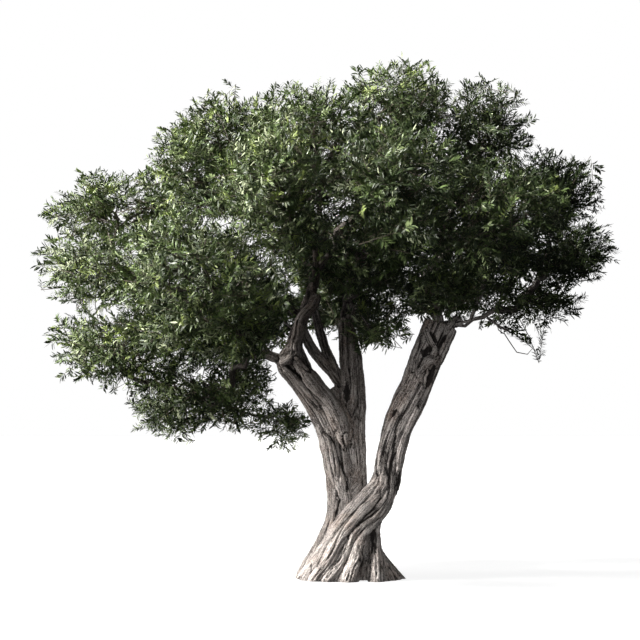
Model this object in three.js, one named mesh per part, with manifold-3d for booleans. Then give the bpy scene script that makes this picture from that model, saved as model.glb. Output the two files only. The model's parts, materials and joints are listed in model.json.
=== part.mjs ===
// An old olive tree with a short trunk of fused roots, two stems and a wide lobed crown.
// Millimetres, +Z up, +X to the tree's right, -Y to its front.
// The origin is at ground level, on the flat cut under the trunk.
import * as THREE from "three";
import { mergeVertices } from "three/addons/utils/BufferGeometryUtils.js";
import Module from "manifold-3d";

const wasm = await Module();
wasm.setup();

// Driving dimensions.
const FORK_Z = 900; // where the trunk divides into the main stem and the right limb
const CROTCH_Z = 1480; // where the main stem divides into the left and centre limbs
const GAP = 0.5; // clearance between solids that touch
const FAR = 8000; // larger than the tree, for cutting boxes
const WELD = 1e-3; // vertices closer than this are one

const BARK = { color: 0x6e6259, roughness: 0.92, metalness: 0 };
const FOLIAGE = { color: 0x5a6648, roughness: 0.6, metalness: 0 };

// A limb is a list of stations from its foot to its end: [x, y, z, radius].
const MAIN_STEM = [
  [-40, 15, 640, 200],
  [-45, 10, 900, 196],
  [-75, 0, 1200, 205],
  [-115, 0, 1470, 245],
  [-135, 0, 1600, 262],
];
const LEFT_LIMB = [
  [-125, -20, 1330, 175],
  [-212, -50, 1550, 174],
  [-325, -110, 1755, 159],
  [-480, -190, 1960, 144],
  [-625, -250, 2135, 128],
];
const LEFT_UPPER_LIMB = [
  [-640, -250, 2090, 92],
  [-545, -300, 2400, 76],
  [-405, -300, 2790, 60],
  [-350, -270, 3050, 52],
];
const LEFT_OUTER_BOUGH = [
  [-600, -240, 2105, 74],
  [-740, -270, 2160, 56],
  [-1010, -290, 2290, 42],
  [-1330, -200, 2560, 34],
];
const CENTRE_LIMB = [
  [-15, 40, 1330, 160],
  [2, 80, 1830, 134],
  [-20, 115, 2260, 108],
  [-38, 120, 2520, 94],
  [0, 110, 3000, 78],
];
const INNER_BOUGH_LEFT = [
  [-40, 110, 1790, 82],
  [-165, 150, 2010, 58],
  [-415, 220, 2300, 58],
  [-550, 260, 2640, 50],
  [-600, 290, 3100, 32],
];
const INNER_BOUGH_RIGHT = [
  [-95, 130, 1900, 78],
  [-216, 190, 2140, 56],
  [-332, 232, 2520, 47],
  [-450, 250, 3000, 34],
];
const RIGHT_LIMB = [
  [270, -80, 740, 150],
  [362, -50, 1060, 136],
  [393, -40, 1285, 132],
  [442, -35, 1480, 142],
  [552, -22, 1710, 160],
  [642, -12, 1900, 150],
  [722, 0, 2135, 155],
  [828, 10, 2375, 158],
  [885, 20, 2540, 150],
];
const RIGHT_UPPER_LIMB = [
  [830, 10, 2400, 128],
  [835, 40, 2570, 112],
  [790, 80, 2760, 96],
  [800, 110, 3000, 80],
];
const RIGHT_BOUGH = [
  [860, -10, 2450, 100],
  [1000, -40, 2560, 78],
  [1170, -50, 2615, 62],
  [1300, -40, 2680, 52],
  [1420, -20, 2790, 44],
];
const LOW_RIGHT_BRANCH = [
  [1280, -40, 2640, 20],
  [1390, -60, 2555, 16],
  [1530, -80, 2460, 13],
  [1690, -90, 2405, 10],
];

// A root is a strand that rises from its toe on the ground, leans in to the waist, and goes on into
// the stem or the right limb. Toe and waist are headings in degrees from +X towards +Y, so 270 is the
// front; the strands that feed the right limb sweep across the front as they rise.
const WAIST = { centre: [-25, 0], radius: 185, z: 420 };
const STEM_FOOT = [-45, 10];
const RIGHT_FOOT = [330, -65];
const ROOT_TOE = { reach: 0.97, z: -70, thick: 0.8 }; // shares of the root's own reach and thickness
const ROOT_KNUCKLE = { reach: 0.82, z: 45, thick: 1 };
const ROOT_INSTEP = { reach: 0.58, z: 170, thick: 1.25 };
const ROOT_WAIST = { thick: 1.5 };
const ROOT_TOP = { from: 900, to: 1000, thick: 1.65 };
const ROOT_FACES = { sides: 7, rings: 5 };
const ROOTS = [
  { toe: 180, reach: 545, thick: 66, waist: 176, feeds: STEM_FOOT, spread: 95 },
  { toe: 208, reach: 560, thick: 64, waist: 222, feeds: STEM_FOOT, spread: 80 },
  { toe: 232, reach: 520, thick: 68, waist: 262, feeds: RIGHT_FOOT, spread: 35 },
  { toe: 256, reach: 450, thick: 66, waist: 292, feeds: RIGHT_FOOT, spread: 35 },
  { toe: 310, reach: 445, thick: 62, waist: 322, feeds: RIGHT_FOOT, spread: 35 },
  { toe: 350, reach: 548, thick: 60, waist: 350, feeds: RIGHT_FOOT, spread: 30 },
  { toe: 28, reach: 480, thick: 66, waist: 22, feeds: RIGHT_FOOT, spread: 40 },
  { toe: 66, reach: 430, thick: 68, waist: 60, feeds: STEM_FOOT, spread: 95 },
  { toe: 104, reach: 420, thick: 68, waist: 100, feeds: STEM_FOOT, spread: 95 },
  { toe: 146, reach: 470, thick: 66, waist: 140, feeds: STEM_FOOT, spread: 95 },
];

// The wood that the roots wrap.
const HEART = [
  [-5, 5, -60, 440],
  [-5, 5, 60, 365],
  [-15, 5, 190, 282],
  [...WAIST.centre, WAIST.z, 225],
  [...STEM_FOOT, ROOT_TOP.to, 190],
];
const HEART_FACES = { sides: 12, rings: 6 };

// A limb's flutes: how many, their height as a share of its radius, and how far they turn from its
// foot to its end, in radians.
const FLUTES = 3;
const FLUTE_HEIGHT = 0.05;
const FLUTE_TURN = 4;

// A mass of foliage: centre and half sizes. Its place in the list seeds its lumps.
const MASSES = [
  ["left_skirt", [-1540, 330, 1880], [1000, 780, 440]],
  ["left_hanging_tip", [-770, 440, 1550], [410, 420, 290]],
  ["left_low_outer", [-2300, 60, 2330], [740, 780, 490]],
  ["left_far", [-2320, -150, 3040], [720, 820, 510]],
  ["left_far_high", [-2330, 350, 3700], [770, 800, 450]],
  ["left_shoulder", [-1530, -350, 3840], [490, 850, 590]],
  ["upper_left", [-1190, 300, 4430], [690, 850, 480]],
  ["left_front", [-1430, -1120, 2850], [900, 760, 790]],
  ["left_back", [-1600, 1200, 2900], [900, 820, 820]],
  ["left_heart", [-1290, -20, 2800], [880, 700, 740]],
  ["centre_front", [-760, -1350, 3560], [760, 760, 720]],
  ["centre_top", [-430, -350, 4290], [800, 900, 530]],
  ["crown_top", [520, 100, 4610], [760, 900, 580]],
  ["top_back", [-250, 1150, 4150], [950, 850, 650]],
  ["right_top", [1250, 60, 4400], [620, 850, 630]],
  ["right_high", [1860, 120, 3760], [690, 850, 560]],
  ["right_far", [2030, -50, 3270], [620, 850, 480]],
  ["right_low", [1780, 250, 2800], [650, 700, 330]],
  ["right_front", [1250, -1100, 3480], [800, 780, 650]],
  ["right_back", [1300, 1250, 3500], [850, 800, 780]],
  ["middle_front", [330, -1350, 3650], [780, 760, 740]],
  ["middle_back", [-20, 1620, 3200], [900, 740, 820]],
  ["crown_heart", [150, 50, 3500], [1050, 850, 780]],
  ["under_right", [870, 80, 2910], [760, 800, 370]],
  ["hanging_tuft", [200, -150, 2500], [300, 380, 330]],
  ["low_right_spray", [1710, -90, 2405], [180, 130, 85]],
];
const LUMPS = 9; // lumps and hollows on each mass
const DEEPEST_HOLLOW = -0.1755; // share of the radius
const HIGHEST_LUMP = 0.2565; // share of the radius
const LUMP_SPREAD = 0.11; // how wide a lump is, as a share of the half turn
const LARGE_MASS = 1000; // half size from which a mass has finer faces
const FINE_FACES = 3; // how often a ball's faces are divided
const COARSE_FACES = 2;
const NEIGHBOUR = 1.45; // masses further apart than this, as a share of their reaches, never meet
const LEAST_SHARE = 0.2; // of the way to a neighbour's centre, kept by the smaller of two masses
const FIRST_SEED = 3; // seeds the first mass's lumps

// ---- solids ----

// A closed mesh as a solid for cutting and joining.
function solidOf(geometry) {
  const bare = geometry.clone();
  bare.deleteAttribute("normal");
  bare.deleteAttribute("uv");
  const merged = mergeVertices(bare, WELD);
  return new wasm.Manifold(
    new wasm.Mesh({
      numProp: 3,
      vertProperties: merged.getAttribute("position").array,
      triVerts: new Uint32Array(merged.index.array),
    }),
  );
}

// The largest body of a solid, without the crumbs that a cut can leave.
function largest(solid) {
  return solid.decompose().sort((a, b) => b.volume() - a.volume())[0];
}

function geometryOf(solid) {
  const mesh = solid.getMesh();
  return new THREE.BufferGeometry()
    .setAttribute("position", new THREE.BufferAttribute(mesh.vertProperties, 3))
    .setIndex(new THREE.BufferAttribute(mesh.triVerts, 1));
}

// Everything between two heights.
function slab(low, high) {
  const box = new THREE.BoxGeometry(FAR, FAR, high - low);
  box.translate(0, 0, (low + high) / 2);
  return solidOf(box);
}

// A tapering round limb along a smooth curve through its stations. Flutes twist slowly round it.
function limb(stations, { sides, rings, grow = 0 }) {
  const curve = new THREE.CatmullRomCurve3(
    stations.map(([x, y, z]) => new THREE.Vector3(x, y, z)),
    false,
    "centripetal",
  );
  const frames = curve.computeFrenetFrames(rings, false);
  const tube = new THREE.CylinderGeometry(1, 1, 1, sides, rings);
  const position = tube.getAttribute("position");
  for (let i = 0; i < position.count; i++) {
    const share = position.getY(i) + 0.5;
    const ring = Math.round(share * rings);
    const turn = Math.atan2(position.getX(i), position.getZ(i));
    const out = Math.hypot(position.getX(i), position.getZ(i));
    const radius = stationRadius(stations, curve, ring / rings) + grow;
    const fluted = radius * (1 + FLUTE_HEIGHT * Math.sin(FLUTES * turn + FLUTE_TURN * share));
    const point = curve
      .getPointAt(ring / rings)
      .addScaledVector(frames.normals[ring], Math.cos(turn) * out * fluted)
      .addScaledVector(frames.binormals[ring], Math.sin(turn) * out * fluted)
      .addScaledVector(frames.tangents[ring], grow * outwards(ring, rings));
    position.setXYZ(i, point.x, point.y, point.z);
  }
  return solidOf(tube);
}

// Which way along the limb is out of it: back at its first ring, on at its last.
function outwards(ring, rings) {
  if (ring === 0) return -1;
  return ring === rings ? 1 : 0;
}

// The radius at a share of the curve's length, between the stations' own radii.
function stationRadius(stations, curve, share) {
  const along = curve.getUtoTmapping(share) * (stations.length - 1);
  const before = Math.min(Math.floor(along), stations.length - 2);
  return THREE.MathUtils.lerp(stations[before][3], stations[before + 1][3], along - before);
}

// A root's stations: spreading at the toe, then in to the waist, then up beside what it feeds.
function rootStations({ toe, reach, thick, waist, feeds, spread }) {
  const out = (heading, distance, [x, y] = [0, 0]) => {
    const angle = THREE.MathUtils.degToRad(heading);
    return [x + distance * Math.cos(angle), y + distance * Math.sin(angle)];
  };
  const middle = toe + 0.5 * (waist - toe);
  return [
    [...out(toe, ROOT_TOE.reach * reach), ROOT_TOE.z, ROOT_TOE.thick * thick],
    [...out(toe, ROOT_KNUCKLE.reach * reach), ROOT_KNUCKLE.z, ROOT_KNUCKLE.thick * thick],
    [...out(middle, ROOT_INSTEP.reach * reach), ROOT_INSTEP.z, ROOT_INSTEP.thick * thick],
    [...out(waist, WAIST.radius, WAIST.centre), WAIST.z, ROOT_WAIST.thick * thick],
    [...out(waist, spread, feeds), ROOT_TOP.from, ROOT_TOP.thick * thick],
    [...out(waist, spread, feeds), ROOT_TOP.to, ROOT_TOP.thick * thick],
  ];
}

// Repeatable random numbers from 0 to 1, by a linear congruence.
const MODULUS = 2 ** 31;
const MULTIPLIER = 1103515245;
const INCREMENT = 12345;
const SEED_STEP = 7919;
const SEED_START = 17;

function seeded(seed) {
  let state = seed * SEED_STEP + SEED_START;
  return () => {
    state = (state * MULTIPLIER + INCREMENT) % MODULUS;
    return state / MODULUS;
  };
}

function lumpsOf(seed) {
  const random = seeded(seed);
  return Array.from({ length: LUMPS }, () => {
    const turn = random() * 2 * Math.PI;
    const rise = random() * 2 - 1;
    const across = Math.sqrt(1 - rise * rise);
    return {
      towards: new THREE.Vector3(across * Math.cos(turn), across * Math.sin(turn), rise),
      height: THREE.MathUtils.lerp(DEEPEST_HOLLOW, HIGHEST_LUMP, random()),
    };
  });
}

// An uneven ball of foliage, closed, and seen from its centre without folds.
function lumpyBall([, centre, half], seed, grow = 0) {
  const lumps = lumpsOf(seed + FIRST_SEED);
  const faces = Math.max(...half) >= LARGE_MASS ? FINE_FACES : COARSE_FACES;
  const ball = new THREE.IcosahedronGeometry(1, faces);
  const position = ball.getAttribute("position");
  const direction = new THREE.Vector3();
  for (let i = 0; i < position.count; i++) {
    direction.fromBufferAttribute(position, i).normalize();
    const lift = lumps.reduce(
      (sum, lump) =>
        sum + lump.height * Math.exp((direction.dot(lump.towards) - 1) / LUMP_SPREAD),
      1,
    );
    const point = direction.clone().multiply(new THREE.Vector3(...half)).multiplyScalar(lift);
    point.addScaledVector(direction, grow);
    position.setXYZ(i, point.x + centre[0], point.y + centre[1], point.z + centre[2]);
  }
  return solidOf(ball);
}

// How far an ellipsoid reaches from its centre along a unit vector.
function reachAlong(half, unit) {
  return 1 / Math.hypot(unit.x / half[0], unit.y / half[1], unit.z / half[2]);
}

// Where two masses meet, a flat cut through the line that their surfaces share keeps them apart.
function meetingPlane([, centre, half], [, otherCentre, otherHalf]) {
  const from = new THREE.Vector3(...centre);
  const towards = new THREE.Vector3(...otherCentre).sub(from);
  const distance = towards.length();
  towards.normalize();
  const own = reachAlong(half, towards);
  const other = reachAlong(otherHalf, towards);
  if (distance > NEIGHBOUR * (own + other)) return null;
  const at = (distance * distance + own * own - other * other) / (2 * distance);
  const least = LEAST_SHARE * distance;
  const kept = THREE.MathUtils.clamp(at, least, distance - least);
  return { towards, offset: from.dot(towards) + kept };
}

function massSolid(mass, seed, grow = 0) {
  return MASSES.reduce((solid, other) => {
    const plane = other === mass ? null : meetingPlane(mass, other);
    if (!plane) return solid;
    const { x, y, z } = plane.towards;
    return solid.trimByPlane([-x, -y, -z], -(plane.offset - GAP / 2 + grow));
  }, lumpyBall(mass, seed, grow));
}

// ---- the tree ----

function trunkSolid(grow = 0) {
  const strands = ROOTS.map((root) => limb(rootStations(root), { ...ROOT_FACES, grow }));
  const heart = limb(HEART, { ...HEART_FACES, grow });
  const joined = strands.reduce((all, strand) => all.add(strand), heart);
  return largest(joined.intersect(slab(0, FORK_Z + grow)));
}

// Limbs in the order in which they are cut: each gives way to the ones before it.
const LIMBS = [
  ["main_stem", MAIN_STEM, { from: FORK_Z, to: CROTCH_Z, sides: 14, rings: 5 }],
  ["right_limb", RIGHT_LIMB, { from: FORK_Z, sides: 12, rings: 11 }],
  ["centre_limb", CENTRE_LIMB, { from: CROTCH_Z, sides: 12, rings: 9 }],
  ["left_limb", LEFT_LIMB, { from: CROTCH_Z, sides: 12, rings: 8 }],
  ["left_upper_limb", LEFT_UPPER_LIMB, { sides: 8, rings: 6 }],
  ["left_outer_bough", LEFT_OUTER_BOUGH, { sides: 8, rings: 5 }],
  ["inner_bough_left", INNER_BOUGH_LEFT, { sides: 7, rings: 6 }],
  ["inner_bough_right", INNER_BOUGH_RIGHT, { sides: 7, rings: 6 }],
  ["right_bough", RIGHT_BOUGH, { sides: 8, rings: 5 }],
  ["right_upper_limb", RIGHT_UPPER_LIMB, { sides: 10, rings: 5 }],
  ["low_right_branch", LOW_RIGHT_BRANCH, { sides: 6, rings: 5 }],
];

function limbSolid([, stations, { from, to = FAR / 2, ...shape }], grow = 0) {
  const whole = limb(stations, { ...shape, grow });
  if (from === undefined) return whole;
  return whole.intersect(slab(from + GAP - grow, to + grow));
}

function named(name, solid, material, centre = [0, 0, 0]) {
  const geometry = geometryOf(solid).translate(-centre[0], -centre[1], -centre[2]);
  const mesh = new THREE.Mesh(geometry, new THREE.MeshStandardMaterial(material));
  mesh.name = name;
  mesh.position.set(...centre);
  return mesh;
}

function woodGroup() {
  const group = new THREE.Group();
  group.add(named("trunk", trunkSolid(), BARK));
  const obstacles = [trunkSolid(GAP)];
  const grownMasses = MASSES.map((mass, seed) => massSolid(mass, seed, GAP));
  for (const entry of LIMBS) {
    const cleared = [...obstacles, ...grownMasses].reduce(
      (solid, obstacle) => solid.subtract(obstacle),
      limbSolid(entry),
    );
    group.add(named(entry[0], largest(cleared), BARK));
    obstacles.push(limbSolid(entry, GAP));
  }
  return group;
}

function crownGroup() {
  const group = new THREE.Group();
  MASSES.forEach((mass, seed) => {
    const [name, centre] = mass;
    group.add(named(name, largest(massSolid(mass, seed)), FOLIAGE, centre));
  });
  return group;
}

const olive = new THREE.Group();
olive.add(woodGroup(), crownGroup());

export default olive;
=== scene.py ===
"""An old olive tree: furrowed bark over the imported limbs, and boughs, twigs and leaves in place of
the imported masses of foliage. Metres, +Z up, -Y to the tree's front."""
import json
import math

import bpy
import numpy as np
from bpy.props import FloatProperty, FloatVectorProperty, IntProperty, PointerProperty
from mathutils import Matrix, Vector, noise
from mathutils.bvhtree import BVHTree
from mathutils.kdtree import KDTree


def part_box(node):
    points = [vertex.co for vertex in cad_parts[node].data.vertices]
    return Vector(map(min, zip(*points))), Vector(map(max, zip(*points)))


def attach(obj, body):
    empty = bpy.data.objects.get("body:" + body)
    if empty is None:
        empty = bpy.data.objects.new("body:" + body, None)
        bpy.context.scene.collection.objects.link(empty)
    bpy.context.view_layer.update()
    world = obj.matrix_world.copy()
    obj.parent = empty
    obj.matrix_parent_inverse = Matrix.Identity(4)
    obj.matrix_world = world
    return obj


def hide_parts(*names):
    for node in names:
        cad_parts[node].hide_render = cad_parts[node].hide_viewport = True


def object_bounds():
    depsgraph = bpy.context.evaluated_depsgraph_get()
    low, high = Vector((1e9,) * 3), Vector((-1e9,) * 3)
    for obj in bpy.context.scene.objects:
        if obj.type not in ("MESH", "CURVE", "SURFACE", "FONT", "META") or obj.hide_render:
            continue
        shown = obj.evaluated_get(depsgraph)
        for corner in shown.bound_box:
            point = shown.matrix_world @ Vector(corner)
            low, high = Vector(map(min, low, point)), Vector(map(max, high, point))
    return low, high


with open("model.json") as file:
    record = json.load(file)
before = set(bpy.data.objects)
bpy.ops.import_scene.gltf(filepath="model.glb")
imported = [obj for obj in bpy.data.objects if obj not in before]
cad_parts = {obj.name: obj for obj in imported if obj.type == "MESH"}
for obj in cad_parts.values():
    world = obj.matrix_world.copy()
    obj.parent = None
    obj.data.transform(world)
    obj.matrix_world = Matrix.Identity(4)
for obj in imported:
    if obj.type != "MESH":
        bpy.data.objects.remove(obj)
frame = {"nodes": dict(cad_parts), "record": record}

bl_info = {
    "name": "Olive tree",
    "version": (1, 0, 0),
    "blender": (4, 5, 0),
    "location": "3D View > Sidebar > Olive",
    "description": "Grows bark, boughs, twigs and leaves on a packed olive tree",
    "category": "Add Mesh",
}

CAD_BOX = [list(corner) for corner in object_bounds()]
BODY = "root"
MASSES = [
    entry["node"]
    for entry in frame["record"]["subparts"]
    if entry["material_slot"] == "foliage"
]
GROUND = 0.0
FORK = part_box("trunk")[1].z  # where the trunk's solid ends and the stems begin


def linear(hex_colour):
    """An sRGB hex colour as linear RGBA."""
    channels = [int(hex_colour[i : i + 2], 16) / 255 for i in (1, 3, 5)]
    bent = [c / 12.92 if c <= 0.04045 else ((c + 0.055) / 1.055) ** 2.4 for c in channels]
    return (*bent, 1.0)


def measure(name, description, default):
    """A setting that is a length in metres."""
    return FloatProperty(
        name=name, description=description, subtype="DISTANCE", unit="LENGTH", default=default
    )


def colour(name, description, hex_colour):
    """A setting that is a colour, given as sRGB hex."""
    tint = linear(hex_colour)
    return FloatVectorProperty(
        name=name, description=description, subtype="COLOR", size=4, min=0, max=1, default=tint
    )


# ---- settings ----


class OliveBark(bpy.types.PropertyGroup):
    """The trunk, the limbs and their bark."""

    cell: measure("Cell", "Size of the bark mesh's faces", 0.0095)
    plate: measure("Plate height", "Depth of the long furrows between plates of bark", 0.0125)
    fibre: measure("Fibre height", "Depth of the fine furrows within the plates", 0.0085)
    ridge: colour("Ridge", "Weathered face of the bark", "#ddd5cf")
    body: colour("Body", "Bark between ridge and furrow", "#9c928c")
    # Near black: painted shade in the furrows, cracks and hollows, and the dark flecks.
    furrow: colour("Furrow", "Depth of the furrows and hollows", "#1a1513")
    ochre: colour("Ochre", "Warm stain where bark has flaked", "#957a66")
    # Painted shade on the limbs under the crown.
    painted_limb_shade: colour("Damp", "Bark that the crown keeps damp", "#463e38")


class OliveCrown(bpy.types.PropertyGroup):
    """How the crown branches."""

    outer_gap: measure(
        "Outer gap", "Distance between leafy branchlets at the outside of the crown", 0.190
    )
    inner_gap: measure("Inner gap", "Distance between leafy branchlets inside the crown", 0.38)
    branchlet: measure(
        "Branchlet length", "Length of the part of a branchlet that bears sprays", 0.44
    )
    sprays: IntProperty(name="Sprays", description="Leafy shoots on each branchlet", default=7)
    spray_length: measure("Spray length", "Length of the longest leafy shoots", 0.25)
    twig_radius: measure("Twig radius", "Radius of a leafy shoot at its foot", 0.0024)
    seed: IntProperty(name="Seed", description="Start of the branching rule", default=7)
    twig_grey: colour("Twig", "Bark of last year's twigs", "#6d6459")
    twig_green: colour("Shoot", "Bark of this year's shoots", "#7d8262")


class OliveLeaves(bpy.types.PropertyGroup):
    """Size and tints of the leaves."""

    length: measure("Length", "Length of the longest leaves", 0.068)
    width: measure("Width", "Width of the widest leaves", 0.0155)
    # The deep tint serves mostly as painted shade inside the crown and on its right, and the lime
    # and grey tints mostly as painted light on its left and top.
    deep: colour("Deep", "Old leaves in the crown", "#384628")
    green: colour("Green", "Upper face of grown leaves", "#617443")
    grey: colour("Grey green", "Upper face with its bloom", "#80905f")
    lime: colour("Lime", "Young leaves near the tips", "#92a25c")
    silver: colour("Silver", "Underside of the leaves", "#b1ba97")


class OliveStage(bpy.types.PropertyGroup):
    """Light, floor and camera."""

    eye_height: measure("Eye height", "Height of the camera above the ground", 1.5)
    distance: measure("Distance", "Distance of the camera from the trunk", 16.0)
    aside: measure("Aside", "How far the camera stands to the left of the trunk's foot", 0.321)
    aim_height: measure("Aim height", "Height above the foot that the camera looks at", 2.564)
    lens: FloatProperty(
        name="Lens", description="Focal length", subtype="DISTANCE_CAMERA", default=89.9
    )
    sun: FloatProperty(name="Key light", description="Strength of the key light", default=8.8)
    top: FloatProperty(
        name="Top light", description="Strength of the soft light from above", default=0.4
    )
    side: FloatProperty(
        name="Side light", description="Strength of the low light on the trunk", default=5.2
    )
    foot: FloatProperty(
        name="Foot light",
        description="Power of the soft lamp that stands in front, aimed at the foot",
        unit="POWER",
        default=1250.0,
    )
    sky: FloatProperty(
        name="Fill light", description="Strength of the light from all round", default=0.045
    )


# ---- meshes from arrays ----


def add_object(name, data):
    """A new object in the scene, at the origin."""
    made = bpy.data.objects.new(name, data)
    bpy.context.scene.collection.objects.link(made)
    return made


def make_mesh(name, vertices, faces, materials, face_materials=None, smooth=True):
    """A mesh object. faces is a list of arrays, each for faces with one count of corners."""
    faces = [np.asarray(group, np.int32) for group in faces if len(group)]
    corners = np.concatenate([group.ravel() for group in faces])
    counts = np.concatenate([np.full(len(group), group.shape[1]) for group in faces])
    mesh = bpy.data.meshes.new(name)
    mesh.vertices.add(len(vertices))
    mesh.vertices.foreach_set("co", np.asarray(vertices, np.float32).ravel())
    mesh.loops.add(len(corners))
    mesh.loops.foreach_set("vertex_index", corners)
    mesh.polygons.add(len(counts))
    mesh.polygons.foreach_set("loop_start", np.concatenate([[0], np.cumsum(counts)[:-1]]))
    mesh.polygons.foreach_set("use_smooth", np.full(len(counts), smooth))
    for material in materials:
        mesh.materials.append(material)
    if face_materials is not None:
        mesh.polygons.foreach_set("material_index", np.asarray(face_materials, np.int32))
    mesh.update(calc_edges=True)
    mesh.validate()
    return add_object(name, mesh)


def points_of(mesh):
    """The mesh's points as an array."""
    flat = np.empty(len(mesh.vertices) * 3, np.float32)
    mesh.vertices.foreach_get("co", flat)
    return flat.reshape(-1, 3).astype(float)


def triangles_of(mesh):
    """The numbers of the points of each of the mesh's triangles."""
    mesh.calc_loop_triangles()
    flat = np.empty(len(mesh.loop_triangles) * 3, np.int32)
    mesh.loop_triangles.foreach_get("vertices", flat)
    return flat.reshape(-1, 3)


def unit(vectors):
    """Vectors brought to a length of one."""
    length = np.linalg.norm(vectors, axis=-1, keepdims=True)
    return vectors / np.maximum(length, 1e-9)


def noise_at(points):
    """Smooth noise from -1 to 1 at each point."""
    return np.fromiter((noise.noise(p) for p in points.tolist()), float, len(points))


def tube_frames(paths):
    """Two directions across each path at each of its points, turning as little as they can."""
    tangents = unit(np.gradient(paths, axis=-2))
    across = np.empty_like(tangents)
    helper = np.where(np.abs(tangents[..., 0, 2:3]) > 0.9, (1.0, 0, 0), (0, 0, 1.0))
    across[..., 0, :] = unit(np.cross(tangents[..., 0, :], helper))
    for k in range(1, paths.shape[-2]):
        before = across[..., k - 1, :]
        tangent = tangents[..., k, :]
        along = (before * tangent).sum(-1, keepdims=True)
        across[..., k, :] = unit(before - along * tangent)
    return across, np.cross(tangents, across)


def tubes(paths, radii, sides):
    """Vertices, faces and grain coordinates of round tubes, closed at both ends.

    paths is (tubes, stations, 3) and radii is (tubes, stations)."""
    count, stations = radii.shape
    across, over = tube_frames(paths)
    turn = np.arange(sides) * 2 * math.pi / sides
    ring = np.stack([np.cos(turn), np.sin(turn)], -1)
    out = (
        ring[:, :1] * across[:, :, None, :] + ring[:, 1:] * over[:, :, None, :]
    ) * radii[:, :, None, None]
    vertices = paths[:, :, None, :] + out
    steps = np.linalg.norm(np.diff(paths, axis=1), axis=-1)
    length = np.concatenate([np.zeros((count, 1)), np.cumsum(steps, 1)], 1)
    grain = np.empty_like(vertices)
    grain[..., :2] = ring * radii[:, :, None, None]
    grain[..., 2] = length[:, :, None]
    index = np.arange(count * stations * sides).reshape(count, stations, sides)
    beside = np.roll(index, -1, 2)
    walls = np.stack(
        [index[:, :-1], beside[:, :-1], beside[:, 1:], index[:, 1:]], -1
    ).reshape(-1, 4)
    caps = np.concatenate([index[:, 0, ::-1], index[:, -1]])
    return vertices.reshape(-1, 3), [walls, caps], grain.reshape(-1, 3)


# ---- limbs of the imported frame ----


def cross_section(corners, axis, side, over, origin):
    """Centre and radius of what a plane cuts from a solid given by its triangles' corners."""
    level = (corners - origin) @ axis
    cut = []
    for a, b in ((0, 1), (1, 2), (2, 0)):
        crossed = level[:, a] * level[:, b] < 0
        share = level[crossed, a] / (level[crossed, a] - level[crossed, b])
        start = corners[crossed, a]
        cut.append(start + share[:, None] * (corners[crossed, b] - start))
    cut = np.concatenate(cut)
    centre = cut.mean(0)
    flat = np.stack([(cut - centre) @ side, (cut - centre) @ over], -1)
    flat = flat[np.argsort(np.arctan2(flat[:, 1], flat[:, 0]))]
    after = np.roll(flat, -1, 0)
    cross = flat[:, 0] * after[:, 1] - flat[:, 1] * after[:, 0]
    area = cross.sum() / 2
    drift = ((flat + after) * cross[:, None]).sum(0) / (6 * area)
    return [*(centre + drift[0] * side + drift[1] * over), math.sqrt(abs(area) / math.pi)]


def centre_line(node, count):
    """A limb's centre and radius at even steps from its foot to its end: (count, 4).

    Sections near a slanting end miss part of the limb, so the line is carried on from the last
    whole ones."""
    mesh = frame["nodes"][node].data
    points = points_of(mesh)
    corners = points[triangles_of(mesh)]
    middle = points.mean(0)
    axis = np.linalg.svd(points - middle, full_matrices=False)[2][0]
    reach = (points - middle) @ axis
    low_gap, high_gap = (
        np.linalg.norm(points[i] - (0, 0, FORK)) for i in (reach.argmin(), reach.argmax())
    )
    if low_gap > high_gap:
        axis, reach = -axis, -reach
    side = unit(np.cross(axis, (0, 1, 0) if abs(axis[1]) < 0.9 else (1, 0, 0)))
    over = np.cross(axis, side)
    heights = np.linspace(reach.min(), reach.max(), 41)[1:-1]
    found = np.array([cross_section(corners, axis, side, over, middle + h * axis) for h in heights])
    inner = slice(len(found) // 4, -len(found) // 4)
    slope, level = np.polyfit(heights[inner], found[inner, 3], 1)
    whole = found[:, 3] > 0.9 * (slope * heights + level)
    first, last = whole.argmax(), len(whole) - 1 - whole[::-1].argmax()
    line, heights = found[first : last + 1], heights[first : last + 1]
    step = max(1, len(line) // 6)

    def beyond(outer, inner, edge):
        """A section carried on from the outer whole one, half of the way to the limb's edge."""
        share = ((heights[outer] - edge) / 2) / (heights[inner] - heights[outer])
        return line[outer] + (line[outer] - line[inner]) * share

    foot, end = beyond(0, step, reach.min()), beyond(-1, -1 - step, reach.max())
    return smooth_path(np.concatenate([[foot], line[::step], [end]]), count)


def smooth_path(stations, count):
    """A smooth curve through stations, as evenly spaced points. Extra columns are carried along."""
    stations = np.asarray(stations, float)
    ends = np.concatenate(
        [[2 * stations[0] - stations[1]], stations, [2 * stations[-1] - stations[-2]]]
    )
    t = np.linspace(0, 1, 12, endpoint=False)[:, None]
    pieces = []
    for a, b, c, d in zip(ends, ends[1:], ends[2:], ends[3:]):
        bend, twist = 2 * a - 5 * b + 4 * c - d, 3 * b - a - 3 * c + d
        pieces.append(0.5 * (2 * b + (c - a) * t + bend * t**2 + twist * t**3))
    dense = np.concatenate([*pieces, stations[-1:]])
    steps = np.linalg.norm(np.diff(dense[:, :3], axis=0), axis=1)
    length = np.concatenate([[0], np.cumsum(steps)])
    wanted = np.linspace(0, length[-1], count)
    return np.stack([np.interp(wanted, length, column) for column in dense.T], -1)


# ---- bark ----

STRAND_POINTS = 72
HOLLOW_POINTS = 24
WAIST = {"centre": (-0.025, 0.0), "radius": 0.185, "z": 0.42}

# The tables below are in millimetres.

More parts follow.
